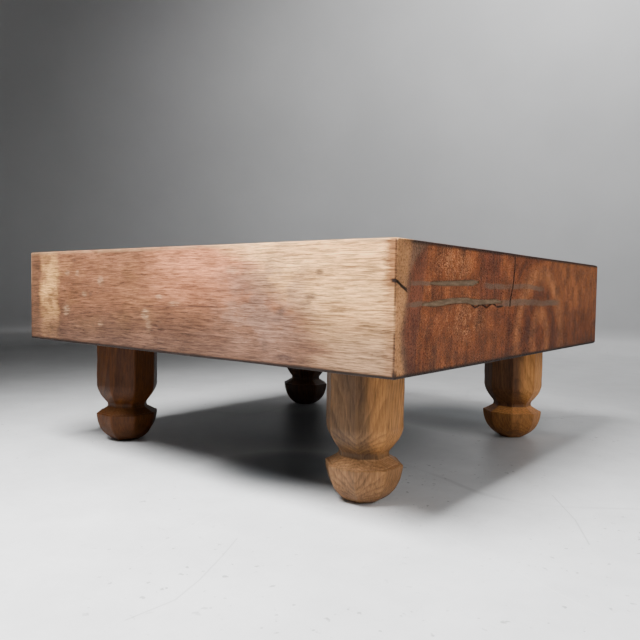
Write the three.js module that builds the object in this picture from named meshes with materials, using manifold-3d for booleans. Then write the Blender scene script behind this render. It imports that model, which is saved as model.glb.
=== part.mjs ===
// A low table: one thick block of solid hardwood standing on four carved octagonal legs.
// Millimetres, +Z up. X runs along the block's grain, and the block's two ends are its X faces.
// The origin is on the floor, under the middle of the block.
import * as THREE from 'three';
import { mergeVertices } from 'three/addons/utils/BufferGeometryUtils.js';
import Module from 'manifold-3d';

const wasm = await Module();
wasm.setup();

// ---- driving dimensions ----
const BLOCK_LENGTH = 602; // along the grain, X
const BLOCK_WIDTH = 595; // across the grain, Y
const BLOCK_THICKNESS = 121; // four sun, Z
const LEG_HEIGHT = 144; // floor to the block's underside
const LEG_INSET_X = 94; // block end to leg axis
const LEG_INSET_Y = 95; // block side to leg axis
const SHAFT_RADIUS = 42.3; // across the octagon's corners, halved
const FOOT_RADIUS = 42.6; // widest part of the pod-shaped foot
const TENON_WIDTH = 40; // square tenon on the top of each leg
const TENON_LENGTH = 46;
const FIT_GAP = 0.3; // between a piece and the piece that holds it
const FILLER_DEPTH = 14; // how far the crack filler goes in from the end of the block

const EDGE_BEVEL = 1.5; // eased arrises of the block
const CORNER_RADIUS = 3.5; // its four upright corners
const MORTISE_SPARE = 2; // empty depth over the end of each tenon

const WOOD_ROUGHNESS = 0.62;
const FILLER_ROUGHNESS = 0.9;

// ---- solids ----
function solidFrom(geometry) {
  const merged = geometry.clone();
  merged.deleteAttribute('normal');
  merged.deleteAttribute('uv');
  const shared = mergeVertices(merged, 1e-4);
  return new wasm.Manifold(new wasm.Mesh({
    numProp: 3,
    vertProperties: new Float32Array(shared.attributes.position.array),
    triVerts: new Uint32Array(shared.index.array),
  }));
}

function geometryFrom(solid) {
  const mesh = solid.getMesh();
  const geometry = new THREE.BufferGeometry();
  geometry.setAttribute('position', new THREE.BufferAttribute(mesh.vertProperties, 3));
  geometry.setIndex(new THREE.BufferAttribute(mesh.triVerts, 1));
  geometry.computeVertexNormals();
  return geometry;
}

function flatFinish(color, roughness) {
  return new THREE.MeshStandardMaterial({ color, roughness, metalness: 0, flatShading: true });
}

// A prism or carved post with flat sides: its profile, [radius, height], turned in `sides` steps
// about +Z, so that a flat side faces +X. Radii are to the corners.
function facetedPost(profile, sides) {
  const points = profile.map(([radius, height]) => new THREE.Vector2(radius, height));
  const post = new THREE.LatheGeometry(points, sides, Math.PI / sides);
  return post.rotateX(Math.PI / 2);
}

// ---- crack filler: thin lens-shaped strips let into the +X end of the block ----
// Each station is [distance from the -Y side, height over the underside, half thickness].
const UPPER_FILLER = [
  [62, 83.2, 0.8], [78, 83.3, 2.0], [105, 83.8, 2.2], [132, 84.8, 2.4], [148, 85.2, 2.8], [157, 86.2, 1.0],
];
const LOWER_FILLER = [
  [48, 63.8, 1.2], [66, 64.2, 2.3], [86, 65.6, 2.6], [102, 67.0, 2.4], [134, 67.4, 2.6],
  [150, 65.6, 3.0], [176, 65.6, 2.2], [206, 66.2, 2.2], [218, 65.4, 1.0],
];

function fillerOutline(stations, grow) {
  const outline = new THREE.Shape();
  const top = stations.map(([along, height, half]) => [along, height + half + grow]);
  const bottom = stations.map(([along, height, half]) => [along, height - half - grow]).reverse();
  const [firstAlong, firstHeight] = stations[0];
  const [lastAlong, lastHeight] = stations[stations.length - 1];
  const tip = 4 + grow; // pointed end past the first and last station
  outline.moveTo(firstAlong - tip, firstHeight);
  top.forEach(([along, height]) => outline.lineTo(along, height));
  outline.lineTo(lastAlong + tip, lastHeight);
  bottom.forEach(([along, height]) => outline.lineTo(along, height));
  outline.closePath();
  return outline;
}

function fillerGeometry(stations, grow, depth, frontX) {
  const strip = new THREE.ExtrudeGeometry(fillerOutline(stations, grow), {
    depth,
    bevelEnabled: false,
  });
  const alongY = new THREE.Vector3(0, 1, 0);
  const upZ = new THREE.Vector3(0, 0, 1);
  const outX = new THREE.Vector3(1, 0, 0);
  strip.applyMatrix4(new THREE.Matrix4().makeBasis(alongY, upZ, outX));
  return strip.translate(frontX - depth, -BLOCK_WIDTH / 2, LEG_HEIGHT);
}

function makeFiller(name, stations) {
  const front = BLOCK_LENGTH / 2 - FIT_GAP;
  const filler = new THREE.Mesh(
    fillerGeometry(stations, 0, FILLER_DEPTH, front),
    flatFinish(0x7a6c5c, FILLER_ROUGHNESS),
  );
  filler.name = name;
  return filler;
}

// ---- leg positions, shared by the legs and their mortises ----
const legX = BLOCK_LENGTH / 2 - LEG_INSET_X;
const legY = BLOCK_WIDTH / 2 - LEG_INSET_Y;
const LEGS = [
  ['leg_front_right', legX, -legY],
  ['leg_front_left', -legX, -legY],
  ['leg_rear_right', legX, legY],
  ['leg_rear_left', -legX, legY],
];

// ---- the block: eased edges, four blind mortises below and two filled cracks in one end ----
function blockOutline() {
  const x = BLOCK_LENGTH / 2;
  const y = BLOCK_WIDTH / 2;
  const r = CORNER_RADIUS;
  const outline = new THREE.Shape();
  outline.moveTo(-x + r, -y);
  outline.lineTo(x - r, -y);
  outline.absarc(x - r, -y + r, r, -Math.PI / 2, 0);
  outline.lineTo(x, y - r);
  outline.absarc(x - r, y - r, r, 0, Math.PI / 2);
  outline.lineTo(-x + r, y);
  outline.absarc(-x + r, y - r, r, Math.PI / 2, Math.PI);
  outline.lineTo(-x, -y + r);
  outline.absarc(-x + r, -y + r, r, Math.PI, Math.PI * 1.5);
  return outline;
}

function makeBlock() {
  const slab = new THREE.ExtrudeGeometry(blockOutline(), {
    depth: BLOCK_THICKNESS - 2 * EDGE_BEVEL,
    curveSegments: 4,
    bevelThickness: EDGE_BEVEL,
    bevelSize: EDGE_BEVEL,
    bevelOffset: -EDGE_BEVEL,
    bevelSegments: 2,
  });
  slab.translate(0, 0, LEG_HEIGHT + EDGE_BEVEL);
  let block = solidFrom(slab);

  const overcut = 5; // the cutting shapes pass this far outside the block
  const mortiseWidth = TENON_WIDTH + 2 * FIT_GAP;
  const mortiseDepth = TENON_LENGTH + MORTISE_SPARE;
  for (const [, x, y] of LEGS) {
    const mortise = new THREE.BoxGeometry(mortiseWidth, mortiseWidth, mortiseDepth + overcut);
    mortise.translate(x, y, LEG_HEIGHT + (mortiseDepth - overcut) / 2);
    block = block.subtract(solidFrom(mortise));
  }
  const crackDepth = FILLER_DEPTH + 2 * FIT_GAP + overcut;
  for (const stations of [UPPER_FILLER, LOWER_FILLER]) {
    const crack = fillerGeometry(stations, FIT_GAP, crackDepth, BLOCK_LENGTH / 2 + overcut);
    block = block.subtract(solidFrom(crack));
  }
  const mesh = new THREE.Mesh(geometryFrom(block), flatFinish(0x8c5f42, WOOD_ROUGHNESS));
  mesh.name = 'block';
  return mesh;
}

// ---- a leg: flat-bottomed pod foot, narrow neck, bud-shaped shaft, square tenon ----
function sampledCurve(from, bend, to, steps) {
  const curve = new THREE.QuadraticBezierCurve(
    new THREE.Vector2(...from),
    new THREE.Vector2(...bend),
    new THREE.Vector2(...to),
  );
  return curve.getPoints(steps).map((point) => [point.x, point.y]);
}

function legProfile() {
  const soleRadius = 18;
  const rimHeight = 38.5;
  const neckHeight = 46.5;
  const budHeight = 50;
  const shaftStart = 81;
  const shoulder = LEG_HEIGHT - FIT_GAP;
  const bowl = sampledCurve([soleRadius, 0], [40.5, 10.5], [FOOT_RADIUS, rimHeight], 10);
  const bud = sampledCurve([27.2, budHeight], [SHAFT_RADIUS, 69.5], [SHAFT_RADIUS, shaftStart], 9);
  return [
    [0, 0],
    ...bowl,
    [41.2, 40.2], // small bevel along the rim
    [38.6, 40.8], // narrow ledge
    [38.0, 41.6],
    [25.8, neckHeight], // sloping top of the foot
    ...bud,
    [SHAFT_RADIUS, shoulder],
    [0, shoulder],
  ];
}

function tenonProfile() {
  const corner = (TENON_WIDTH / 2) * Math.SQRT2;
  const chamfer = 3;
  const root = LEG_HEIGHT - 10; // starts inside the shaft, so that the two join as one
  const end = LEG_HEIGHT - FIT_GAP + TENON_LENGTH;
  return [
    [0, root],
    [corner, root],
    [corner, end - chamfer],
    [corner - chamfer * Math.SQRT2, end],
    [0, end],
  ];
}

function makeLeg(name, x, y) {
  const shaft = solidFrom(facetedPost(legProfile(), 8));
  const tenon = solidFrom(facetedPost(tenonProfile(), 4));
  const leg = new THREE.Mesh(geometryFrom(shaft.add(tenon)), flatFinish(0x7d5a3a, WOOD_ROUGHNESS));
  leg.name = name;
  leg.position.set(x, y, 0);
  return leg;
}

// ---- the table ----
const table = new THREE.Group();
table.add(makeBlock());
for (const [name, x, y] of LEGS) {
  table.add(makeLeg(name, x, y));
}
table.add(makeFiller('crack_filler_upper', UPPER_FILLER));
table.add(makeFiller('crack_filler_lower', LOWER_FILLER));

export default table;
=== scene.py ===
import math

import bpy
import numpy as np
from mathutils import Matrix, Vector


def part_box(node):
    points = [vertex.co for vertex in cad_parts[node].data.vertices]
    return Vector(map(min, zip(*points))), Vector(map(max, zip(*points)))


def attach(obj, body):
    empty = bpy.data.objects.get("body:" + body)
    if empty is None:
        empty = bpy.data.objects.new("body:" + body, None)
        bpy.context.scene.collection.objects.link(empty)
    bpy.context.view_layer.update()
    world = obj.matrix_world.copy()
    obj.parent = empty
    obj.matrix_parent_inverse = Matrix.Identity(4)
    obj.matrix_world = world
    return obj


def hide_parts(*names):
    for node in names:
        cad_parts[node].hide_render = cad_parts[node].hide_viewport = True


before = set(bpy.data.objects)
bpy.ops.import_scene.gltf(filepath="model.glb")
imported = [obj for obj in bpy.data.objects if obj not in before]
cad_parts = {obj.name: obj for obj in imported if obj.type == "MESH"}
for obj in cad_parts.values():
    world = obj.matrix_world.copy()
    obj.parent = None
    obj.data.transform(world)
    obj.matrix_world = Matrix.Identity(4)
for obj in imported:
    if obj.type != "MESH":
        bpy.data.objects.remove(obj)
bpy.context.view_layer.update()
MM = 0.001

# ---------------------------------------------------------------------------------------------
# The block: one slab sawn from a big log, with its heart low in the slab and a strip of pale
# sapwood along the -Y side. It is planed and hand-worn bare hardwood. Four blind mortises take
# the legs, and the +X end has opened in drying cracks. Sizes are in millimetres.
# ---------------------------------------------------------------------------------------------
block_low, block_high = (np.array(corner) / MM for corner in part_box("block"))
block_half = (block_high - block_low) / 2
block_centre = (block_high + block_low) / 2
end_x = block_high[0]
side_y = block_low[1]
under_z = block_low[2]
SIDE_SPACING = 5.6
HEIGHT_SPACING = 3.4
FINE_SPACING = 1.3
ARRIS_SPAN = 7
EDGE_RADIUS = 1.25
EDGE_WANDER = 0.45
NICK_SIZE = 2.6
NICK_RARITY = 0.42
FAR_CORNER_WEAR = 1.9
LEFT_CORNER_WEAR = 1.0
TEAR_DEPTH = 1.9
TEAR_SPACING = 2.6
DRIFT = 0.4
INSET = 0.3
MORTISE_HALF = 20.3
MORTISE_SPARE = 2
GAP_DEPTH = 14.8
GAP_ROOM = 0.25
GAP_FLOOR_SHARE = 0.97
GAP_SPACING = 1.6
CUT_OVERLAP = 5
HEART_IN = 346
HEART_UP = 20


def evenly(low, high, spacing):
    """Places from low to high, as near the spacing apart as fits."""
    return np.linspace(low, high, round((high - low) / spacing) + 1)


def stations(half, spacing, fine_from=None):
    """Places from -half to half: a few tenths of a millimetre apart at the two ends, where the
    arris turns, then the spacing apart, or the fine spacing above fine_from."""
    turn = np.array([0, 0.3, 0.65, 1.0, 1.4, 1.9, 2.6, 3.6, 5.0])
    low, high = -half + ARRIS_SPAN, half - ARRIS_SPAN
    if fine_from is None:
        middle = evenly(low, high, spacing)
    else:
        fine = evenly(fine_from, high, FINE_SPACING)
        middle = np.concatenate([evenly(low, fine_from, spacing), fine[1:]])
    return np.concatenate([-half + turn, middle, (half - turn)[::-1]])


def box_skin(xs, ys, zs):
    """The six sides of a box as grids that share their stations, welded where they meet.
    Each side's quads are wound so that they face out."""
    lists = (xs, ys, zs)
    points, quads, count = [], [], 0
    for axis in range(3):
        across, along = (axis + 1) % 3, (axis + 2) % 3
        rows, columns = len(lists[across]), len(lists[along])
        index = np.arange(rows * columns).reshape(rows, columns)
        quad = np.stack([index[:-1, :-1], index[1:, :-1], index[1:, 1:], index[:-1, 1:]], -1)
        for end in (0, -1):
            side = np.empty((rows, columns, 3))
            side[..., axis] = lists[axis][end]
            side[..., across] = lists[across][:, None]
            side[..., along] = lists[along][None, :]
            points.append(side.reshape(-1, 3))
            wound = quad if end else quad[..., ::-1]
            quads.append(wound.reshape(-1, 4) + count)
            count += rows * columns
    points, quads = np.concatenate(points), np.concatenate(quads)
    keys = np.round(points * 1000).astype(np.int64)
    _, first, back = np.unique(keys, axis=0, return_index=True, return_inverse=True)
    return points[first], back.reshape(-1)[quads]


def ripple(points, wavelength, seed, waves=7):
    """Smooth unevenness from -1 to 1: the mean of plane sine waves of about one wavelength that
    run in fixed random directions."""
    rng = np.random.default_rng(seed)
    ways = rng.normal(size=(waves, 3))
    ways /= np.linalg.norm(ways, axis=1, keepdims=True)
    lengths = wavelength * rng.uniform(0.7, 1.4, waves)
    phases = rng.uniform(0, 2 * np.pi, waves)
    return np.sin(points @ (ways * (2 * np.pi / lengths)[:, None]).T + phases).mean(axis=1)


def ease(value, low, high):
    """A smooth step from 0 at low to 1 at high."""
    t = np.clip((value - low) / (high - low), 0, 1)
    return t * t * (3 - 2 * t)


def torn_arris(points):
    """Extra rounding, in millimetres, where fibres have torn out of the upper part of the near
    upright arris: random heights at a close spacing, joined by straight lines."""
    rng = np.random.default_rng(41)
    height = points[:, 2] + block_half[2]
    knots = np.arange(0, 2 * block_half[2], TEAR_SPACING)
    tears = rng.uniform(0, 1, len(knots)) ** 2 * TEAR_DEPTH
    near = ease(points[:, 0], 280, 295) * ease(-points[:, 1], 280, 292)
    return np.interp(height, knots, tears) * near * ease(height, 74, 92)


def worn_block(points):
    """A box with worn edges: each point is drawn back to an inner box that is smaller by the
    edge radius, then pushed out from it by that radius. The radius wanders, and is larger on the
    far corners and in small nicks. Long waves put the whole block a touch out of true, and the
    faces are set in a little, so that the waves stay inside the block's full size."""
    radius = EDGE_RADIUS + EDGE_WANDER * ripple(points, wavelength=70, seed=3)
    radius += NICK_SIZE * np.maximum(0, ripple(points, wavelength=17, seed=8) - NICK_RARITY)
    far_corner = ease(np.abs(points[:, 0]), 285, 300) * ease(points[:, 1], 285, 296)
    left_corner = ease(-points[:, 0], 285, 300) * ease(-points[:, 1], 285, 296)
    radius += FAR_CORNER_WEAR * far_corner + LEFT_CORNER_WEAR * left_corner + torn_arris(points)
    inner_half = block_half - radius[:, None]
    inner = np.clip(points, -inner_half, inner_half)
    away = points - inner
    length = np.linalg.norm(away, axis=1, keepdims=True)
    rounded = inner + away / np.maximum(length, 1e-9) * radius[:, None]
    drift = np.stack([ripple(points, wavelength=210, seed=seed) for seed in (11, 12, 13)], axis=1)
    near_face = np.abs(points) > block_half - 8
    return rounded + DRIFT * drift - INSET * np.sign(points) * near_face


def side_dents(points):
    """Small knocks in the -Y side, each given by its place along the side, its height, width and
    depth: round hollows with a bell-shaped section."""
    dented = points.copy()
    for along, height, width, depth in ((218, 90, 4, 1.0), (210, 70, 5, 0.9), (170, 55, 4, 0.7),
                                        (177, 10, 6, 1.0), (-20, 30, 5, 0.5), (-130, 100, 4, 0.6)):
        gap = np.hypot(points[:, 0] - along, points[:, 2] + block_half[2] - height)
        on_side = points[:, 1] < -block_half[1] + 3
        dented[:, 1] += depth * np.exp(-((gap / width) ** 2)) * on_side
    return dented


def tube_quads(rows, around, turned=False):
    """The quads between the rows of a tube that has the same number of points around each row.
    Turned quads face the other way."""
    here = np.arange(around)
    after = (here + 1) % around
    row = np.arange(rows - 1)[:, None] * around
    a, b = row + here, row + after
    corners = (a, a + around, b + around, b) if turned else (a, b, b + around, a + around)
    return np.stack(corners, axis=-1).reshape(-1, 4)


def make_piece(name, points, faces):
    """A new object at the origin, from points in millimetres and faces as lists of indices."""
    mesh = bpy.data.meshes.new(name)
    mesh.from_pydata((points * MM).tolist(), [], faces if isinstance(faces, list) else faces.tolist())
    mesh.update()
    piece = bpy.data.objects.new(name, mesh)
    bpy.context.scene.collection.objects.link(piece)
    return piece


def end_bar(path, half_widths, depths, proud=3.0, floor_share=0.25):
    """A closed wedge-sided bar let into the +X end along a path of (distance from the -Y side,
    height over the underside). At each point stands a four-cornered section, square to the
    path: its mouth is outside the end by the proud amount, and it narrows to a floor."""
    heading = np.gradient(path, axis=0)
    heading /= np.linalg.norm(heading, axis=1, keepdims=True)
    square = np.stack([-heading[:, 1], heading[:, 0]], axis=1)
    sections = []
    for share, side in ((1, 1), (1, -1), (floor_share, -1), (floor_share, 1)):
        place = path + square * (half_widths * share * side)[:, None]
        x = np.full(len(path), end_x + proud) if share == 1 else end_x - depths
        sections.append(np.stack([x, side_y + place[:, 0], under_z + place[:, 1]], axis=1))
    points = np.stack(sections, axis=1).reshape(-1, 3)
    last = len(points) - 4
    caps = [[3, 2, 1, 0], [last, last + 1, last + 2, last + 3]]
    return points, np.concatenate([tube_quads(len(path), 4), caps])


def jagged(path, spacing, roughness, seed):
    """The path cut into short steps, each point moved up or down at random."""
    rng = np.random.default_rng(seed)
    given = np.array(path)
    along = evenly(given[0, 0], given[-1, 0], spacing)
    height = np.interp(along, given[:, 0], given[:, 1])
    return np.stack([along, height + rng.uniform(-roughness, roughness, len(along))], axis=1)


def taper_to_ends(count, fullness):
    """Widths from nearly 0 at both ends to 1 in the middle, as a power of a half sine."""
    return np.maximum(np.sin(np.linspace(0.04, np.pi - 0.04, count)) ** fullness, 0.08)


def cut_away(piece, cutters):
    """Cuts closed solids out of a piece, applies the result and deletes the solids."""
    for cutter in cutters:
        cut = piece.modifiers.new("cut", "BOOLEAN")
        cut.operation = "DIFFERENCE"
        cut.solver = "MANIFOLD"
        cut.object = cutter
    finished = bpy.data.meshes.new_from_object(
        piece.evaluated_get(bpy.context.evaluated_depsgraph_get()))
    piece.modifiers.clear()
    rough = piece.data
    piece.data = finished
    bpy.data.meshes.remove(rough)
    for cutter in cutters:
        bpy.data.objects.remove(cutter)


def smooth_but_sharp(piece, degrees):
    """Smooth shading, with edges that turn by more than the angle kept sharp."""
    mesh = piece.data
    mesh.polygons.foreach_set("use_smooth", np.ones(len(mesh.polygons), bool))
    mesh.set_sharp_from_angle(angle=math.radians(degrees))
    mesh.update()


# The two filled drying cracks in the +X end: the distances of their points from the -Y side with
# their heights over the underside, and their half widths there.
UPPER_GAP = [(58, 83.2), (78, 83.3), (105, 83.8), (132, 84.8), (148, 85.2), (161, 86.2)]
UPPER_HALF = [0.9, 2.3, 2.5, 2.7, 3.1, 1.0]
LOWER_GAP = [(44, 63.8), (66, 64.2), (86, 65.6), (102, 67.0), (134, 67.4), (150, 65.6), (176, 65.6),
             (206, 66.2), (222, 65.4)]
LOWER_HALF = [1.0, 2.5, 2.9, 2.7, 2.9, 3.2, 2.5, 2.5, 1.0]


def filled_gap(gap, halves, grow):
    """The wavering centre line and half widths of a filled crack, cut into short steps and
    grown on all sides."""
    given = np.array(gap, float)
    count = round(np.ptp(given[:, 0]) / GAP_SPACING)
    along = np.linspace(given[0, 0] - grow, given[-1, 0] + grow, count)
    rng = np.random.default_rng(5)
    middle = np.interp(along, given[:, 0], given[:, 1]) + rng.normal(0, 0.07, count)
    half = np.interp(along, given[:, 0], halves) * (1 + rng.normal(0, 0.04, count))
    return np.stack([along, middle], axis=1), half + grow


skin, quads = box_skin(
    stations(block_half[0], SIDE_SPACING),
    stations(block_half[1], SIDE_SPACING),
    stations(block_half[2], HEIGHT_SPACING, fine_from=10),
)
block = make_piece("block_body", side_dents(worn_block(skin)) + block_centre, quads)

cutters = []
for leg in [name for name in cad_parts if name.startswith("leg_")]:
    leg_low, leg_high = (np.array(corner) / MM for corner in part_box(leg))
    middle = (leg_low + leg_high) / 2
    mortise_sides = np.array([-MORTISE_HALF, MORTISE_HALF])
    mortise_ends = np.array([under_z - CUT_OVERLAP, leg_high[2] + MORTISE_SPARE])
    mortise = box_skin(middle[0] + mortise_sides, middle[1] + mortise_sides, mortise_ends)
    cutters.append(make_piece("mortise", *mortise))

for name, gap, halves in (("upper_gap", UPPER_GAP, UPPER_HALF), ("lower_gap", LOWER_GAP, LOWER_HALF)):
    path, half_widths = filled_gap(gap, halves, GAP_ROOM)
    bar = end_bar(path, half_widths, np.full(len(path), GAP_DEPTH), floor_share=GAP_FLOOR_SHARE)
    cutters.append(make_piece(name, *bar))

# The cracks left open: a jagged one under the lower filler, one across the near arris, and an
# upright one. Each is as deep as a multiple of its half width and a little more.
open_crack = jagged([(144, 63.6), (153, 59.9), (160, 61.3), (167, 63.7), (173, 62.4), (183, 59.4),
                     (189, 62.4), (196, 64.2), (203, 62.6), (209, 60.0), (224, 60.9)],
                    spacing=1.7, roughness=0.25, seed=17)
arris_crack = np.array([(-4.0, 85.6), (0.0, 84.4), (4.0, 82.2), (8.0, 80.0), (12.5, 78.2), (17.5, 76.2)])
check_up = np.linspace(60.5, 117.5, 26)
check_along = np.interp(check_up, [60, 68, 85, 101, 118], [245, 246.5, 253, 256.5, 257])
upright_check = np.stack([check_along, check_up], axis=1)
upright_check[:, 0] += np.random.default_rng(23).normal(0, 0.25, len(upright_check))
for name, path, half_widths, depth_share, least_depth in (
        ("open_crack", open_crack, 0.8 * taper_to_ends(len(open_crack), 0.6), 9, 2),
        ("arris_crack", arris_crack, np.array([1.5, 1.3, 0.95, 0.8, 0.6, 0.2]), 1.2, 0.8),
        ("upright_check", upright_check, 0.85 * taper_to_ends(len(upright_check), 0.5), 6, 1)):
    bar = end_bar(path, half_widths, depth_share * half_widths + least_depth)
    cutters.append(make_piece(name, *bar))

cut_away(block, cutters)
smooth_but_sharp(block, 38)
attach(block, "root")
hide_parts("block")


def feed(node, values):
    """Feeds a node's inputs, by name or number, each with a socket to link or a value to hold."""
    for name, value in values.items():
        socket = node.inputs[name]
        if isinstance(value, bpy.types.NodeSocket):
            node.id_data.links.new(value, socket)
        elif socket.type == "RGBA":
            socket.default_value = (*value, 1.0)
        else:
            socket.default_value = value


def add(tree, kind, values=None, **settings):
    """Adds one shader node, sets its properties and feeds its inputs."""
    made = tree.nodes.new("ShaderNode" + kind)
    for name, value in settings.items():
        setattr(made, name, value)
    feed(made, values or {})
    return made


def tree_of(*values):
    """The node tree that the sockets among some values belong to."""
    return next(value.id_data for value in values if isinstance(value, bpy.types.NodeSocket))


def maths(operation, first, second=0.0, third=0.0):
    """The result of one Math node."""
    values = {0: first, 1: second, 2: third}
    return add(tree_of(first, second, third), "Math", values, operation=operation).outputs[0]


def times(first, *others):
    """The product of some values."""
    for other in others:
        first = maths("MULTIPLY", first, other)
    return first


def scaled(value, by, plus):
    """A value times another, plus a third."""
    return maths("MULTIPLY_ADD", value, by, plus)


def less(value, taken):
    """A value less another."""
    return maths("SUBTRACT", value, taken)


def size_of(value):
    """A value without its sign."""
    return maths("ABSOLUTE", value)


def vector(operation, first, second):
    """The result of one Vector Math node."""
    return add(tree_of(first, second), "VectorMath", {0: first, 1: second}, operation=operation).outputs[0]


def parts_of(place):
    """The three parts of a vector."""
    return add(place.id_data, "SeparateXYZ", {0: place}).outputs


def step(value, low, high, bottom=0.0, top=1.0):
    """A smooth step of the value between low and high, from bottom to top."""
    values = {"Value": value, "From Min": low, "From Max": high, "To Min": bottom, "To Max": top}
    made = add(value.id_data, "MapRange", values, interpolation_type="SMOOTHSTEP")
    return made.outputs["Result"]


def blend(share, under, over, kind="MIX"):
    """Mixes two colours by a share."""
    made = add(tree_of(share, under, over), "Mix", data_type="RGBA", blend_type=kind)
    feed(made, {0: share, 6: under, 7: over})
    return made.outputs[2]


def tint(under, over, mask, strength):
    """A colour laid over another one through a mask, at a strength."""
    return blend(times(mask, strength), under, over)


def shade(colour, factor):
    """A colour made darker or lighter, or a vector longer or shorter, by a factor."""
    values = {0: colour, "Scale": factor}
    return add(tree_of(colour, factor), "VectorMath", values, operation="SCALE").outputs[0]


def mottle(place, stretch, detail=2.0, roughness=0.5, distortion=0.0):
    """Noise from 0 to 1 of a place; stretch is its frequency along each axis."""
    values = {"Vector": vector("MULTIPLY", place, stretch), "Scale": 1.0, "Detail": detail,
              "Roughness": roughness, "Distortion": distortion}
    return add(place.id_data, "TexNoise", values).outputs["Fac"]


def mottle_along(value, detail):
    """Noise from 0 to 1 that changes along one value."""
    values = {"W": value, "Scale": 1.0, "Detail": detail}
    return add(value.id_data, "TexNoise", values, noise_dimensions="1D").outputs["Fac"]


def band(value, low, high, soft):
    """1 where the value lies between low and high, with soft ends."""
    rise = step(value, low - soft, low + soft)
    return times(rise, step(value, high - soft, high + soft, 1.0, 0.0))


def spot(along, up, at_along, at_up, wide, tall):
    """1 in the middle of an oval patch, falling smoothly to 0 at its rim."""
    u = times(less(along, at_along), 1 / wide)
    v = times(less(up, at_up), 1 / tall)
    gap = maths("SQRT", maths("ADD", times(u, u), times(v, v)))
    return step(gap, 1.0, 0.25)


def along_line(along, across, path, half, soft):
    """1 on a line drawn over the surface, fading to 0 outside its half width. The line's height
    over each place comes from a curve through the path's points, joined by straight pieces."""
    path = np.asarray(path, float)
    low, high = path.min(axis=0) - 1.0, path.max(axis=0) + 1.0
    share = times(less(along, low[0]), 1 / (high[0] - low[0]))
    drawn = add(share.id_data, "FloatCurve", {"Value": share})
    curve = drawn.mapping.curves[0]
    places = (path - low) / (high - low)
    curve.points[0].location = (0.0, places[0, 1])
    curve.points[1].location = (1.0, places[-1, 1])
    for place_along, place_across in places:
        curve.points.new(place_along, place_across)
    for point in curve.points:
        point.handle_type = "VECTOR"
    drawn.mapping.update()
    height = scaled(drawn.outputs[0], high[1] - low[1], low[1])
    gap = size_of(less(across, height))
    return times(step(gap, half + soft, half), band(along, path[0, 0], path[-1, 0], 1.5))


def new_group(name, inputs, outputs):
    """An empty shader node group with the named sockets; returns it, its input and output nodes."""
    tree = bpy.data.node_groups.new(name, "ShaderNodeTree")
    for socket, kind, value in inputs:
        made = tree.interface.new_socket(socket, in_out="INPUT", socket_type="NodeSocket" + kind)
        if kind == "Float":
            made.default_value = value
    for socket in outputs:
        tree.interface.new_socket(socket, in_out="OUTPUT", socket_type="NodeSocketFloat")
    return tree, tree.nodes.new("NodeGroupInput"), tree.nodes.new("NodeGroupOutput")


def build_tree_rings():
    """Wood as it grows, for a place in millimetres whose x runs up the trunk from the heart line.
    Rings are cylinders round that line that wander, widen and taper; fibres and pores are noise
    drawn out along the trunk, so that they are streaks on a side and dots on an end."""
    tree, given, result = new_group(
        "tree_rings",
        [("Place", "Vector", None), ("Ring Width", "Float", 8.0), ("Taper", "Float", 0.1),
         ("Wander", "Float", 10.0)],
        ["Radius", "Late Wood", "Ring Tone", "Fibre", "Pores", "Streak"])
    place = given.outputs["Place"]
    spread = vector("MULTIPLY", place, (0.0016, 0.0065, 0.0065))
    drift = add(tree, "TexNoise", {"Vector": spread, "Scale": 1.0, "Detail": 2.0}).outputs["Color"]
    pushed = shade(vector("SUBTRACT", drift, (0.5, 0.5, 0.5)), given.outputs["Wander"])
    moved = vector("ADD", place, pushed)
    parts = parts_of(moved)
    across = add(tree, "CombineXYZ", {"X": 0.0, "Y": parts[1], "Z": parts[2]}).outputs[0]
    from_heart = add(tree, "VectorMath", {0: across}, operation="LENGTH").outputs["Value"]
    radius = scaled(parts[0], given.outputs["Taper"], from_heart)
    uneven = mottle(place, (0.006, 0.03, 0.03), 3.0)
    radius = scaled(uneven, 7.0, radius)
    count = maths("DIVIDE", radius, given.outputs["Ring Width"])
    count = scaled(mottle_along(times(radius, 0.035), 1.0), 3.0, count)
    part = maths("FRACT", count)
    feed(result, {
        "Radius": radius,
        "Late Wood": times(step(part, 0.35, 0.93), step(part, 0.93, 1.0, 1.0, 0.0)),
        "Ring Tone": mottle_along(times(count, 0.45), 2.0),
        "Fibre": mottle(moved, (0.045, 0.5, 0.5), 5.0, 0.75),
        "Pores": step(mottle(moved, (0.05, 0.5, 0.5), 2.0, 0.6), 0.56, 0.66),
        "Streak": mottle(moved, (0.008, 0.085, 0.085), 4.0, 0.6),
    })
    return tree


def build_edge_nearness():
    """How near a place, in millimetres from a box's middle, is to one of the box's edges: the
    middle one of its three distances to the faces, which is near 0 only at an edge."""
    tree, given, result = new_group(
        "edge_nearness",
        [("Place", "Vector", None), ("Half Size", "Vector", None), ("Reach", "Float", 4.0)],
        ["Edge"])
    size = add(tree, "VectorMath", {0: given.outputs["Place"]}, operation="ABSOLUTE").outputs[0]
    x, y, z = parts_of(vector("SUBTRACT", size, given.outputs["Half Size"]))
    larger = maths("MAXIMUM", x, y)
    middle = maths("MAXIMUM", maths("MINIMUM", x, y), maths("MINIMUM", larger, z))
    low = times(given.outputs["Reach"], -1.0)
    high = times(given.outputs["Reach"], -0.35)
    feed(result, {"Edge": step(middle, low, high)})
    return tree


tree_rings = build_tree_rings()
edge_nearness = build_edge_nearness()


def new_material(name):
    """A material; returns it, its tree and its surface."""
    material = bpy.data.materials.new(name)
    material.use_nodes = True
    tree = material.node_tree
    return material, tree, tree.nodes["Principled BSDF"]


def finish_surface(surface, colour, roughness, shine, relief, strength, depth):
    """Feeds a surface its colour, roughness and specular level, and a relief: its height, its
    strength and its depth in metres."""
    bump = add(colour.id_data, "Bump", {"Height": relief, "Strength": strength, "Distance": depth})
    feed(surface, {"Base Color": colour, "Roughness": roughness, "Specular IOR Level": shine,
                   "Normal": bump.outputs[0]})


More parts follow.
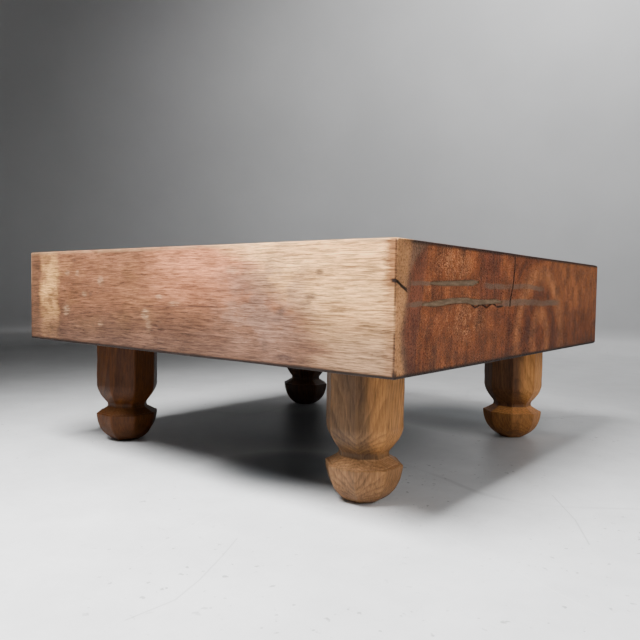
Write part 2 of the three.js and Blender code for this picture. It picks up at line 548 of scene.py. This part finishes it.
def in_millimetres(tree):
    """The piece's own coordinates, in millimetres."""
    own = add(tree, "TexCoord").outputs["Object"]
    return add(tree, "Mapping", {"Vector": own, "Scale": (1000, 1000, 1000)}).outputs[0]


def sawn_ends(place, from_side, up, wood, cloud, blotch, tone):
    """Orange-brown heart with arched rings round its middle, a dark red ring of newer heart and
    pale sapwood. Torn fibres curl over it and upright saw marks cross it. Returns the colour, the
    curls and the saw marks."""
    radius = wood["Radius"]
    colour = blend(tone, (0.120, 0.035, 0.011), (0.245, 0.080, 0.027))
    late = step(from_side, 200, 330, 0.3, 0.8)
    colour = tint(colour, (0.095, 0.031, 0.014), wood["Late Wood"], late)
    colour = blend(step(cloud, 0.38, 0.62, 0.0, 0.6), colour, (0.15, 0.044, 0.016))
    golden = step(from_side, 250, 470)
    colour = tint(colour, (0.27, 0.106, 0.040), golden, step(up, 25, 80, 0.15, 0.55))
    colour = tint(colour, (0.115, 0.041, 0.024), band(radius, 313, 340, 2.0), 0.88)
    arch = times(band(radius, 46, 64, 7), step(cloud, 0.3, 0.5, 0.4, 1.0))
    colour = tint(colour, (0.085, 0.028, 0.016), arch, 0.6)
    halo = maths("MAXIMUM", band(radius, 22, 40, 6), band(radius, 72, 92, 8))
    colour = tint(colour, (0.34, 0.145, 0.06), halo, 0.5)
    core = spot(from_side, up, 322, 30, 34, 24)
    colour = tint(colour, (0.10, 0.034, 0.02), core, 0.35)

    curl = size_of(scaled(mottle(place, (0.08, 0.12, 0.14), 3.0, 0.6, 3.0), 2.0, -1.0))
    patchy = mottle(place, (0.03, 0.045, 0.05), 3.0, 0.6)
    torn = maths("MAXIMUM", spot(from_side, up, 104, 102, 62, 26), spot(from_side, up, 132, 46, 70, 30))
    curls = times(step(curl, 0.10, 0.0), step(patchy, 0.36, 0.52, 0.15, 1.0), maths("MAXIMUM", torn, 0.3),
                  step(from_side, 300, 170, 0.12, 1.0), step(radius, 320, 312, 0.1, 1.0))
    colour = tint(colour, (0.62, 0.30, 0.14), curls, 0.95)

    saw = mottle(place, (0.05, 0.32, 0.016), 4.0, 0.7)
    saw_marks = times(step(saw, 0.5, 0.62), step(from_side, 330, 240, 0.35, 1.0))
    colour = tint(colour, (0.075, 0.022, 0.012), saw_marks, 0.42)
    bite = times(band(from_side, 163, 219, 9), step(up, 58, 74), step(saw, 0.36, 0.58, 0.25, 0.85))
    colour = blend(bite, colour, (0.10, 0.031, 0.018))
    colour = shade(colour, step(up, -15, 85, 0.66, 1.07))
    colour = shade(colour, step(blotch, 0.36, 0.62, 0.74, 1.2))
    colour = blend(1.0, colour, (0.94, 0.84, 0.72), "MULTIPLY")

    sap_edge = scaled(less(blotch, 0.5), 14.0, radius)
    sap_edge = maths("ADD", sap_edge, step(up, 42, 6, -5.0, 3.0))
    fade = step(maths("ADD", sap_edge, step(up, 92, 122, 0.0, 24.0)), 328, 338)
    colour = tint(colour, (0.145, 0.082, 0.046), fade, 0.75)
    sapwood = shade((0.35, 0.162, 0.064), step(up, 45, 110, 1.0, 0.76))
    return blend(step(sap_edge, 334, 343), colour, sapwood), curls, saw_marks


def long_sides(x, up, wood, cloud, blotch, tone, on_front):
    """Reddish brown, rosier in the middle and cream in the sapwood, lighter towards the top and
    darker towards the underside, with one broad stain on the front."""
    streak = step(wood["Streak"], 0.3, 0.7)
    colour = blend(tone, (0.215, 0.092, 0.046), (0.275, 0.118, 0.057))
    colour = tint(colour, (0.18, 0.078, 0.042), streak, 0.45)
    colour = tint(colour, (0.155, 0.062, 0.033), wood["Late Wood"], 0.25)
    rosy = times(step(scaled(cloud, 160.0, x), 10, 120), step(up, 42, 80))
    colour = tint(colour, (0.45, 0.172, 0.085), rosy, 0.85)
    ragged = scaled(wood["Streak"], 18.0, less(wood["Radius"], 9.0))
    sap = step(ragged, 333, 342)
    sapwood = blend(streak, (0.80, 0.445, 0.19), (0.63, 0.33, 0.136))
    colour = shade(blend(sap, colour, sapwood), step(up, 4, 116, 0.45, 1.28))
    ochre = times(step(cloud, 0.5, 0.66), step(x, 60, -80))
    ochre_colour = shade((0.30, 0.145, 0.055), step(up, 4, 116, 0.5, 1.2))
    colour = tint(colour, ochre_colour, ochre, 0.35)
    greyed = times(step(up, 70, 10), sap)
    colour = tint(colour, (0.30, 0.185, 0.125), greyed, 0.5)
    # Greyer and darker towards the underside.
    darker_low = times(step(up, 62, 4), less(1.0, sap))
    colour = tint(colour, (0.155, 0.092, 0.068), darker_low, 0.38)
    stain = times(spot(x, up, 148, 64, 100, 70), step(blotch, 0.36, 0.6, 0.15, 1.0))
    return tint(colour, (0.245, 0.142, 0.100), times(stain, on_front), 0.7)


def front_marks(colour, x, up, wood, blotch, on_front):
    """The marks of the -Y side: a brown border at its far end and a pale rubbed band inside it,
    light and dark knocks, a hair crack in the middle and a darker near arris. Each knock has its
    place along the side, height, half width, half height and strength."""
    frayed = scaled(wood["Fibre"], 14.0, scaled(wood["Streak"], 22.0, x))
    border = times(step(frayed, -252, -262), on_front)
    colour = tint(colour, (0.112, 0.055, 0.031), border, 0.75)
    rubbed = times(band(frayed, -254, -212, 8), step(up, 18, 66, 0.14, 1.0), on_front,
                   step(blotch, 0.36, 0.54, 0.3, 1.0), step(up, 121, 100, 0.55, 1.0))
    colour = tint(colour, (0.68, 0.36, 0.128), rubbed, 0.92)

    light_knocks = (
        (-206, 92, 8, 5, 0.45), (-182, 92, 7, 5, 0.4), (-130, 82, 9, 8, 0.4), (-166, 65, 9, 6, 0.35),
        (-209, 44, 12, 11, 0.5), (-39, 44, 10, 9, 0.45), (12, 57, 17, 4, 0.35), (-14, 64, 8, 5, 0.3),
        (-33, 31, 8, 12, 0.2), (-130, 28, 9, 6, 0.2), (105, 94, 14, 8, 0.35))
    dark_knocks = (
        (218, 91, 7, 5, 0.9), (208, 69, 11, 6, 0.8), (202, 63, 12, 4, 0.7), (172, 54, 8, 8, 0.6),
        (167, 46, 13, 4, 0.55), (176, 9, 18, 6, 0.85), (-152, 65, 6, 3, 0.6), (-190, 108, 9, 5, 0.5),
        (150, 22, 6, 14, 0.35), (60, 25, 30, 5, 0.3))
    for knocks, knock_colour, least in ((light_knocks, (0.52, 0.34, 0.20), 0.12),
                                        (dark_knocks, (0.07, 0.042, 0.035), 0.35)):
        broken = times(on_front, step(wood["Fibre"], 0.6, 0.42, least, 1.0))
        for along, height, wide, tall, strength in knocks:
            knock = times(spot(x, up, along, height, wide, tall), broken)
            colour = tint(colour, knock_colour, knock, strength)

    off_crack = scaled(x, -0.034, less(up, 53.4))
    off_crack = scaled(wood["Streak"], 4.0, less(off_crack, 2.0))
    hair_crack = times(step(size_of(off_crack), 1.3, 0.4), band(x, -40, 85, 8), on_front)
    colour = tint(colour, (0.09, 0.04, 0.026), hair_crack, 0.75)
    near_end = times(step(scaled(wood["Fibre"], 24.0, x), 296, 307), step(up, 58, 88, 0.3, 0.9))
    colour = tint(colour, (0.25, 0.10, 0.038), near_end, on_front)
    arris = times(band(x, end_x - 2.6, end_x + 3.0, 0.8), on_front, step(blotch, 0.36, 0.54, 0.35, 1.0))
    return tint(colour, (0.07, 0.029, 0.012), arris, 0.85)


def fine_grain(colour, place, wood, on_end):
    """Dark and light fibres, thin grain lines on the sides, cloudy patches and pores."""
    dark_fibres = step(wood["Fibre"], 0.47, 0.63)
    light_fibres = step(wood["Fibre"], 0.5, 0.36)
    colour = shade(colour, scaled(dark_fibres, step(on_end, 0.0, 1.0, -0.28, -0.3), 1.03))
    colour = shade(colour, scaled(light_fibres, 0.34, 1.0))
    thin = step(mottle(place, (0.035, 1.0, 1.0), 3.0, 0.7), 0.5, 0.58)
    thin = times(thin, less(1.0, on_end))
    colour = shade(colour, scaled(thin, -0.52, 1.12))
    patches = mottle(place, (0.012, 0.045, 0.045), 4.0, 0.65)
    colour = shade(colour, step(patches, 0.3, 0.7, 0.78, 1.22))
    return tint(colour, shade(colour, 0.35), wood["Pores"], 0.4)


def crack_grime_and_shade(colour, x, up, from_side, cloud, blotch, on_end, on_front):
    """Grey smears of dust where the two filled cracks run on faintly, near black grime and painted shade
    in the open cracks and in the nick that one makes in the arris, and a brown rim round the filler."""
    on_cut = times(on_end, step(x, 0, 10))
    for height, low, high, half, strength in (
            (83, 22, 64, 2.8, 0.8), (64.0, 18, 48, 2.8, 0.8),
            (82.5, 176, 352, 3.8, 0.72), (64.5, 214, 415, 4.6, 0.8)):
        waver = scaled(cloud, 9.0, less(up, height + 4.5))
        smear = times(step(size_of(waver), half, half * 0.5), band(from_side, low, high, 10), on_cut,
                      step(blotch, 0.34, 0.56, 0.45, 1.0))
        colour = tint(colour, (0.135, 0.09, 0.058), smear, strength)

    # Near black in the mouths of the open cracks: grime and painted shade.
    at_mouth = step(x, end_x - 7, end_x - 4)
    for along, across, path, half, soft, strength in (
            (from_side, up, open_crack, 0.5, 1.0, 0.9),
            (up, from_side, upright_check[:, ::-1], 0.8, 2.2, 0.8),
            (from_side, up, arris_crack, 1.0, 1.3, 0.97)):
        grime_and_shade = times(along_line(along, across, path, half, soft), at_mouth)
        colour = tint(colour, (0.012, 0.006, 0.005), grime_and_shade, strength)
    # The nick is painted near black: grime and painted shade.
    nick = step(size_of(less(up, 84.2)), 2.2, 0.9)
    nick = times(nick, step(x, end_x - 2.6, end_x - 1), on_front)
    colour = blend(nick, colour, (0.015, 0.008, 0.006))

    for gap, halves in ((UPPER_GAP, UPPER_HALF), (LOWER_GAP, LOWER_HALF)):
        rim = times(along_line(from_side, up, gap, max(halves) * 0.8, 1.9), on_cut)
        colour = tint(colour, (0.06, 0.03, 0.018), rim, 0.3)
    return colour


def edge_wear_and_shade(colour, place, x, up, from_side, blotch, on_end, end_facing):
    """Edges lighter along the tops of the sides, partly rubbed pale and partly painted highlight, and
    near black round the ends; painted shade makes the edges near the bottom, the underside and the
    lowest few millimetres of the sides near black.
    """
    middle = vector("SUBTRACT", place, tuple(block_centre))
    values = {"Place": middle, "Half Size": tuple(block_half), "Reach": 5.5}
    edge = add(place.id_data, "Group", values, node_tree=edge_nearness).outputs["Edge"]
    # Pale top edges: partly rubbed wear, partly painted highlight.
    pale = times(edge, step(blotch, 0.35, 0.6, 0.3, 1.0), less(1.0, on_end), step(up, 40, 110),
                 step(x, end_x - 8, end_x - 14))
    colour = tint(colour, (0.60, 0.36, 0.19), pale, 0.5)
    # Near black edges round the ends, and near the bottom as painted shade.
    turned = times(step(end_facing, 0.25, 0.5), step(from_side, 12, 30, 0.1, 1.0))
    dark = times(edge, maths("MAXIMUM", turned, step(up, 12, 3)))
    colour = tint(colour, (0.018, 0.009, 0.006), dark, 0.94)
    # Painted shade: the underside and the lowest few millimetres of the sides go near black.
    return blend(step(up, 3.6, 1.8, 0.0, 0.92), colour, (0.014, 0.008, 0.006))


def block_finish():
    """Bare old hardwood: the colours of the sawn ends and of the long sides, mixed by which way
    the surface faces, then the fine grain, cracks and edges. Fibres and pores stand in relief."""
    material, tree, surface = new_material("block_wood")
    place = in_millimetres(tree)
    x, y, z = parts_of(place)
    up = less(z, under_z)
    from_side = less(y, side_y)
    from_heart = vector("SUBTRACT", place, (end_x, side_y + HEART_IN, under_z + HEART_UP))
    growth = {"Place": from_heart, "Ring Width": 17.0, "Taper": 0.14, "Wander": 30.0}
    wood = add(tree, "Group", growth, node_tree=tree_rings).outputs
    cloud = mottle(place, (0.011, 0.02, 0.02), 3.0, 0.6)
    blotch = mottle(place, (0.03, 0.05, 0.05), 4.0, 0.65)
    tone = step(wood["Ring Tone"], 0.34, 0.66)
    facing = parts_of(add(tree, "NewGeometry").outputs["Normal"])
    end_facing = size_of(facing[0])
    on_end = step(end_facing, 0.55, 0.85)
    on_front = step(times(facing[1], -1.0), 0.5, 0.8)
    on_top = step(facing[2], 0.6, 0.9)

    ends, curls, saw_marks = sawn_ends(place, from_side, up, wood, cloud, blotch, tone)
    sides = long_sides(x, up, wood, cloud, blotch, tone, on_front)
    sides = front_marks(sides, x, up, wood, blotch, on_front)
    sides = blend(on_top, sides, blend(1.0, sides, (0.86, 0.82, 0.7), "MULTIPLY"))
    colour = fine_grain(blend(on_end, sides, ends), place, wood, on_end)
    colour = crack_grime_and_shade(colour, x, up, from_side, cloud, blotch, on_end, on_front)
    colour = edge_wear_and_shade(colour, place, x, up, from_side, blotch, on_end, end_facing)

    rough = scaled(wood["Pores"], 0.15, scaled(blotch, 0.25, 0.42))
    lift = scaled(wood["Fibre"], -0.8, times(wood["Pores"], -0.5))
    lift = scaled(curls, times(on_end, 0.4), lift)
    lift = scaled(saw_marks, times(on_end, -0.4), lift)
    finish_surface(surface, colour, rough, 0.16, lift, strength=0.75, depth=0.001)
    return material


block.data.materials.clear()
block.data.materials.append(block_finish())

# ---------------------------------------------------------------------------------------------
# The legs: each carved from one piece, eight-sided, with a bud-shaped shaft, a narrow neck and
# a pod-shaped foot. A square tenon on top goes dry into the block. The arrises are softened by
# hand, and no two legs have the same grain or quite the same colour.
# ---------------------------------------------------------------------------------------------
SIDES = 8
SHAFT_RADIUS = 42.3
FOOT_RADIUS = 42.6
FOOT_HEIGHT = 38.0
TENON_HALF = 20.0
TENON_CHAMFER = 3
SHOULDER_GAP = 0.3
TOOL_WAVE = 0.55
TOOL_RIPPLE = 0.22
POINTS_AROUND = 192


def curve_through(start, bend, end, steps):
    """A curve from start to end that leaves and arrives along the lines to the bend."""
    t = np.linspace(0, 1, steps)[:, None]
    start, bend, end = (np.array(point, float) for point in (start, bend, end))
    return (1 - t) ** 2 * start + 2 * t * (1 - t) * bend + t**2 * end


def leg_outline(shoulder):
    """Radius to the corners and height of the leg from the middle of its sole to its shoulder."""
    sole = np.array([(5, 0), (11, 0), (16.6, 0.0), (17.6, 0.25)])
    bowl = curve_through((18.3, 0.8), (40.3, 10.5), (FOOT_RADIUS, FOOT_HEIGHT), 46)
    rim = np.array([(42.65, 38.6), (42.45, 39.3), (41.9, 39.9), (41.2, 40.3), (40.2, 40.55), (39.2, 40.6),
                    (38.75, 40.8), (38.55, 41.3), (38.2, 41.6)])
    slope = np.linspace((37.6, 41.85), (29.4, 46.7), 10)
    neck = np.array([(28.6, 47.3), (27.95, 48.2), (27.6, 49.2), (27.5, 50.3), (27.55, 51.4), (27.75, 52.5),
                     (28.1, 53.5)])
    bud = curve_through((28.6, 54.4), (41.5, 68.5), (SHAFT_RADIUS, 80.0), 40)
    shaft = np.linspace((SHAFT_RADIUS, 82), (SHAFT_RADIUS, shoulder - 1), 34)
    top = np.array([(SHAFT_RADIUS - 0.1, shoulder - 0.5), (SHAFT_RADIUS - 0.5, shoulder)])
    return np.concatenate([sole, bowl, rim, slope, neck, bud, shaft, top])


def soft_polygon(turn, sides, sharpness):
    """Distance from the middle to the rim of a flat-sided section with softened corners, as a
    share of its distance to a flat: a high power mean of how far each flat reaches that way."""
    flats = np.arange(sides) * 2 * np.pi / sides
    reach = np.maximum(np.cos(turn[..., None] - flats), 0) ** sharpness
    return reach.sum(axis=-1) ** (-1 / sharpness)


def carved_leg(middle, top, seed, girth):
    """The outline carried round a soft eight-sided section, with gentle tool waves, then the
    tenon carried round a four-sided one. The sole and the tenon's end close on the axis."""
    shoulder = under_z - SHOULDER_GAP
    outline = leg_outline(shoulder)
    outline[:, 0] *= math.cos(math.pi / SIDES)
    tenon = np.array([(TENON_HALF, shoulder), (TENON_HALF, shoulder + 15), (TENON_HALF, shoulder + 30),
                      (TENON_HALF, top - TENON_CHAMFER), (TENON_HALF - TENON_CHAMFER, top),
                      (TENON_HALF / 2, top)])
    turn = np.linspace(0, 2 * np.pi, POINTS_AROUND + 1)[:-1]
    octagon = soft_polygon(turn, SIDES, sharpness=110)
    square = soft_polygon(turn, 4, sharpness=60)
    radius = np.concatenate([outline[:, :1] * octagon, tenon[:, :1] * square])
    height = np.repeat(np.concatenate([outline[:, 1:], tenon[:, 1:]]), POINTS_AROUND, axis=1)
    points = np.stack([radius * np.cos(turn), radius * np.sin(turn), height], axis=-1).reshape(-1, 3)
    carved = ease(points[:, 2], 1, 8) * (1 - ease(points[:, 2], shoulder - 3, shoulder))
    wave = TOOL_WAVE * ripple(points, wavelength=34, seed=seed)
    wave += TOOL_RIPPLE * ripple(points, wavelength=13, seed=seed + 1)
    grown = 1 + (girth - 1) * (1 - ease(points[:, 2], shoulder - 3, shoulder - 0.1))
    outward = np.hypot(points[:, 0], points[:, 1])
    scale = grown + wave * carved / np.maximum(outward, 5)
    points[:, :2] *= scale[:, None]
    poles = np.array([(0, 0, 0), (0, 0, top)], float)
    quads = tube_quads(len(radius), POINTS_AROUND)
    last = len(points) - POINTS_AROUND
    sole_pole, tenon_pole = len(points), len(points) + 1
    around = [(here, (here + 1) % POINTS_AROUND) for here in range(POINTS_AROUND)]
    fans = [[sole_pole, after, here] for here, after in around]
    fans += [[tenon_pole, last + here, last + after] for here, after in around]
    return np.concatenate([points, poles]) + (middle[0], middle[1], 0), quads.tolist() + fans


def leg_finish(name, middle, pith_way, pith_gap, light, dark, foot, pale, taper, figure, seed):
    """Brown hardwood with its trunk line upright, beside the leg. Late wood is dark, the side
    towards +X is pale, the foot is redder with a ledge lightened by painted light, and the arrises
    are rubbed."""
    material, tree, surface = new_material(name)
    x, y, z = parts_of(in_millimetres(tree))
    pith = middle[0] + pith_gap * math.cos(pith_way), middle[1] + pith_gap * math.sin(pith_way)
    up_trunk = {"X": maths("ADD", z, seed * 100.0), "Y": less(x, pith[0]), "Z": less(y, pith[1])}
    trunk = add(tree, "CombineXYZ", up_trunk).outputs[0]
    growth = {"Place": trunk, "Ring Width": 3.6, "Taper": taper, "Wander": 17.0}
    wood = add(tree, "Group", growth, node_tree=tree_rings).outputs
    blotch = mottle(trunk, (0.02, 0.04, 0.04), 4.0, 0.6)
    colour = blend(step(wood["Ring Tone"], 0.35, 0.65), dark, light)
    off_x = less(x, middle[0])
    off_y = less(y, middle[1])
    outer = scaled(wood["Streak"], 14.0, off_x)
    colour = blend(step(outer, 26, 40, 0.0, 0.9), colour, pale)
    on_foot = times(step(z, 47, 40), step(blotch, 0.3, 0.6, 0.35, 0.9))
    colour = blend(on_foot, colour, foot)
    # Painted light: the upward-facing ledge of the foot is lightened as if lit from above.
    ledge = times(band(z, 39.8, 48.0, 0.9), step(blotch, 0.3, 0.55, 0.6, 1.0))
    ledge_light = tuple(1.8 * part + more for part, more in zip(foot, (0.03, 0.022, 0.014)))
    colour = tint(colour, ledge_light, ledge, 0.85)
    colour = tint(colour, shade(colour, 0.45), wood["Late Wood"], figure)
    colour = blend(step(wood["Streak"], 0.4, 0.7, 0.0, 0.45), colour, shade(colour, 0.68))
    colour = shade(colour, step(wood["Fibre"], 0.34, 0.66, 1.26, 0.76))
    colour = tint(colour, shade(colour, 0.4), wood["Pores"], 0.4)
    ridge = maths("COSINE", times(maths("ARCTAN2", off_y, off_x), float(SIDES)))
    arris = times(step(ridge, -0.9, -1.0), step(blotch, 0.35, 0.6, 0.1, 0.7))
    colour = tint(colour, tuple(part * 1.5 for part in light), arris, 0.45)
    rough = scaled(blotch, 0.22, 0.38)
    lift = scaled(wood["Fibre"], -0.5, times(wood["Pores"], -0.4))
    finish_surface(surface, colour, rough, 0.14, lift, strength=0.45, depth=0.0005)
    return material


LEG_LOOKS = {
    "leg_front_right": dict(pith_way=1.95, pith_gap=70, girth=0.985, taper=0.1, seed=7, figure=0.5,
                            light=(0.118, 0.061, 0.026), dark=(0.072, 0.036, 0.016),
                            foot=(0.235, 0.118, 0.052), pale=(0.305, 0.136, 0.042)),
    "leg_front_left": dict(pith_way=0.9, pith_gap=64, girth=1.012, taper=0.07, seed=5, figure=0.25,
                           light=(0.069, 0.022, 0.004), dark=(0.040, 0.012, 0.002),
                           foot=(0.066, 0.021, 0.004), pale=(0.052, 0.016, 0.003)),
    "leg_rear_right": dict(pith_way=2.6, pith_gap=58, girth=1.015, taper=0.08, seed=9, figure=0.4,
                           light=(0.13, 0.055, 0.021), dark=(0.085, 0.034, 0.014),
                           foot=(0.36, 0.15, 0.045), pale=(0.52, 0.225, 0.065)),
    "leg_rear_left": dict(pith_way=4.2, pith_gap=66, girth=1.01, taper=0.06, seed=12, figure=0.4,
                          light=(0.055, 0.022, 0.009), dark=(0.034, 0.013, 0.006),
                          foot=(0.045, 0.018, 0.008), pale=(0.06, 0.024, 0.01)),
}
for name, look in LEG_LOOKS.items():
    leg_low, leg_high = (np.array(corner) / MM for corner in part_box(name))
    middle = (leg_low + leg_high)[:2] / 2
    leg = make_piece(name + "_carved", *carved_leg(middle, leg_high[2], look["seed"], look.pop("girth")))
    smooth_but_sharp(leg, 50)
    leg.data.materials.append(leg_finish(name + "_wood", middle, **look))
    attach(leg, "root")
    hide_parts(name)

# ---------------------------------------------------------------------------------------------
# The crack filler: grey-brown putty pressed into the two drying cracks in the +X end. It has
# shrunk a little, so its face is uneven and sits just inside the wood.
# ---------------------------------------------------------------------------------------------
FILLER_SUNK = 0.75
FILLER_CROWN = 0.35
FILLER_DEPTH = 13.6
FILLER_SHARE = 0.98


def filler_bar(gap, halves, seed):
    """A closed bar that follows the crack: its section is a box with a crowned, lumpy front of
    nine points, carried along the crack's wavering centre line."""
    path, half = filled_gap(gap, halves, 0.0)
    front = np.linspace(-1, 1, 9)
    crown = FILLER_CROWN * (1 - front**2)
    section = np.concatenate([np.stack([front, crown], 1), [(1.0, -FILLER_DEPTH), (-1.0, -FILLER_DEPTH)]])
    count, around = len(path), len(section)
    face_x = end_x - FILLER_SUNK
    x = face_x + np.repeat(section[None, :, 1], count, axis=0)
    y = np.repeat(side_y + path[:, :1], around, axis=1)
    z = under_z + path[:, 1:] + half[:, None] * section[None, :, 0] * FILLER_SHARE
    points = np.stack([x, y, z], axis=-1).reshape(-1, 3)
    lumps = 0.3 * ripple(points, wavelength=7, seed=seed) + 0.2 * ripple(points, wavelength=3, seed=seed + 1)
    points[:, 0] += lumps * (points[:, 0] > face_x - 1)
    caps = [list(range(around)), list(reversed(range(len(points) - around, len(points))))]
    return points, tube_quads(count, around, turned=True).tolist() + caps


def filler_finish():
    """Dull putty: two grey-browns in soft blotches, with fine dark grains and a rough skin."""
    material, tree, surface = new_material("filler")
    place = in_millimetres(tree)
    patch = mottle(place, (0.1, 0.06, 0.25), 3.0, 0.6)
    grain = mottle(place, (1.1, 1.1, 1.1), 2.0)
    colour = blend(step(patch, 0.35, 0.65), (0.112, 0.072, 0.042), (0.170, 0.112, 0.068))
    colour = blend(step(grain, 0.55, 0.72, 0.0, 0.5), colour, (0.06, 0.04, 0.026))
    finish_surface(surface, colour, 0.88, 0.2, grain, strength=0.5, depth=0.0004)
    return material


putty = filler_finish()
for name, gap, halves in (("crack_filler_upper", UPPER_GAP, UPPER_HALF),
                          ("crack_filler_lower", LOWER_GAP, LOWER_HALF)):
    filler = make_piece(name + "_putty", *filler_bar(gap, halves, 31))
    smooth_but_sharp(filler, 45)
    filler.data.materials.append(putty)
    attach(filler, "root")
    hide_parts(name)

# ---------------------------------------------------------------------------------------------
# The studio: a pale painted floor that sweeps up into a round wall. Four soft boxes light it
# from the front, the right, overhead and the wall, and the camera is low and close to the near
# corner. Places here are in metres.
# ---------------------------------------------------------------------------------------------
FLOOR_RADIUS = 1.7
COVE_RADIUS = 0.1
WALL_TOP = 2.3


def round_studio():
    """A floor disc whose rim turns up through a quarter circle into an upright round wall: the
    section is carried round the upright axis, and its faces point inwards. In millimetres."""
    quarter = np.linspace(0, math.pi / 2, 13)[1:]
    rim = FLOOR_RADIUS + COVE_RADIUS
    section = np.concatenate([
        np.stack([np.linspace(0.15, FLOOR_RADIUS, 8), np.zeros(8)], 1),
        np.stack([FLOOR_RADIUS + COVE_RADIUS * np.sin(quarter), COVE_RADIUS * (1 - np.cos(quarter))], 1),
        [(rim, WALL_TOP)],
    ])
    turn = np.linspace(0, 2 * np.pi, 97)[:-1]
    around = len(turn)
    points = np.stack([section[:, :1] * np.cos(turn), section[:, :1] * np.sin(turn),
                       np.repeat(section[:, 1:], around, axis=1)], -1).reshape(-1, 3)
    quads = tube_quads(len(section), around, turned=True)
    fans = [[len(points), here, (here + 1) % around] for here in range(around)]
    return np.concatenate([points, [(0, 0, 0)]]) / MM, quads.tolist() + fans


def studio_paint():
    """Pale grey paint, cloudy and gritty, with painted light that brightens the front of the floor and the
    right of the wall, and painted shade that darkens the floor's far left and back. The floor has
    hairlines, pits and four scratches, and a painted shadow under the table."""
    material, tree, surface = new_material("studio_paint")
    place = add(tree, "TexCoord").outputs["Object"]
    x, y, height = parts_of(place)
    cloud = mottle(place, (2.2, 2.2, 2.2), 6.0, 0.62)
    cloudy = step(cloud, 0.3, 0.7)
    wall = blend(cloudy, (0.318, 0.32, 0.323), (0.342, 0.344, 0.347))
    # Painted light: the wall is brighter towards the right.
    rightward = scaled(y, 0.8, x)
    wall = shade(wall, step(rightward, -1.5, 0.0, 0.66, 1.38))

    floor = blend(cloudy, (0.62, 0.625, 0.63), (0.72, 0.725, 0.73))
    # Painted shade darkens the floor's far left and its back; painted light brightens it towards the front.
    floor = shade(floor, step(x, -1.05, -0.25, 0.32, 1.0))
    floor = shade(floor, step(y, 0.8, 0.12, 0.7, 1.0))
    frontward = scaled(y, -1.3, x)
    floor = shade(floor, step(frontward, 0.1, 0.6, 1.0, 1.22))
    grit = mottle(place, (14.0, 14.0, 14.0), 5.0, 0.7)
    floor = shade(floor, step(grit, 0.3, 0.7, 0.95, 1.05))

    hairline = scaled(mottle(place, (1.5, 1.5, 1.5), 1.5, 0.4), 2.0, -1.0)
    hairline = times(step(size_of(hairline), 0.010, 0.002), step(mottle(place, (2.5, 2.5, 2.5)), 0.46, 0.56))
    floor = tint(floor, (0.3, 0.3, 0.3), hairline, 0.22)
    pits = times(step(mottle(place, (110.0, 110.0, 110.0), 2.0), 0.66, 0.71),
                 step(mottle(place, (6.0, 6.0, 6.0), 3.0), 0.46, 0.6, 0.1, 1.0))
    floor = tint(floor, (0.26, 0.26, 0.26), pits, 0.6)
    across_x = times(x, 1000.0)
    across_y = times(y, 1000.0)
    for along, across, path, grey, strength in (
            (across_y, across_x, [(-451, 156), (-350, 126), (-233, 102)], 0.95, 0.45),
            (across_x, across_y, [(259, -212), (314, -234), (384, -263), (471, -300)], 0.95, 0.45),
            (across_y, across_x, [(-512, 230), (-473, 233), (-441, 222), (-400, 203), (-365, 185)],
             0.3, 0.35),
            (across_y, across_x, [(-175, 429), (-119, 400), (-55, 356)], 0.3, 0.4)):
        scratch = along_line(along, across, path, 0.4, 0.8)
        floor = tint(floor, (grey, grey, grey), scratch, strength)

    # Painted shadow: the floor is darkened under the table.
    painted_shadow = spot(x, y, -0.07, 0.03, 0.34, 0.34)
    for middle_x, middle_y, size in ((0.07, 0.27, 0.21), (0.065, -0.15, 0.15)):
        painted_shadow = maths("MAXIMUM", painted_shadow, spot(x, y, middle_x, middle_y, size, size))
    floor = tint(floor, (0.042, 0.052, 0.059), painted_shadow, 0.9)
    feed(surface, {"Base Color": blend(step(height, 0.0, 0.05), floor, wall),
                   "Roughness": scaled(cloud, 0.3, 0.25), "Specular IOR Level": 0.35})
    return material


studio = make_piece("studio_floor", *round_studio())
smooth_but_sharp(studio, 60)
studio.data.materials.append(studio_paint())


def soft_light(name, place, aim, size, watts, spread=180):
    """A square soft box at a place, in metres, turned to face the aim. Its beam spreads by the
    angle in degrees, and the camera never sees the box itself."""
    light = bpy.data.lights.new(name, "AREA")
    light.size = size
    light.energy = watts
    light.spread = math.radians(spread)
    lamp = bpy.data.objects.new(name, light)
    lamp.location = place
    lamp.rotation_euler = (Vector(aim) - Vector(place)).to_track_quat("-Z", "Y").to_euler()
    lamp.visible_camera = False
    bpy.context.scene.collection.objects.link(lamp)


soft_light("front_box", (0.0, -1.0, 1.7), (0.05, -0.55, 0.0), 0.9, 26, spread=75)
soft_light("right_box", (1.55, -0.1, 0.75), (0.2, 0.0, 0.1), 0.8, 6.3, spread=150)
soft_light("overhead_box", (0.0, 0.0, 2.2), (0.0, 0.0, 0.0), 1.4, 2.6)
soft_light("wall_box", (0.15, 0.8, 2.1), (-0.2, 1.75, 0.85), 0.7, 23, spread=120)

world = bpy.data.worlds.new("studio_air")
world.use_nodes = True
world.node_tree.nodes["Background"].inputs["Color"].default_value = (0.8, 0.85, 0.9, 1.0)
world.node_tree.nodes["Background"].inputs["Strength"].default_value = 0.02
bpy.context.scene.world = world

CAMERA_PLACE = (0.5844, -0.7604, 0.2192)
YAW, DIP, LEAN = 0.6668, 0.0464, 0.0174
camera = bpy.data.objects.new("camera", bpy.data.cameras.new("camera"))
camera.data.sensor_width = 36.0
camera.data.lens = 36.27
camera.data.clip_start = 0.01
camera.matrix_world = (
    Matrix.Translation(CAMERA_PLACE)
    @ Matrix.Rotation(YAW, 4, "Z")
    @ Matrix.Rotation(math.pi / 2 - DIP, 4, "X")
    @ Matrix.Rotation(LEAN, 4, "Z")
)
bpy.context.scene.collection.objects.link(camera)
bpy.context.scene.camera = camera
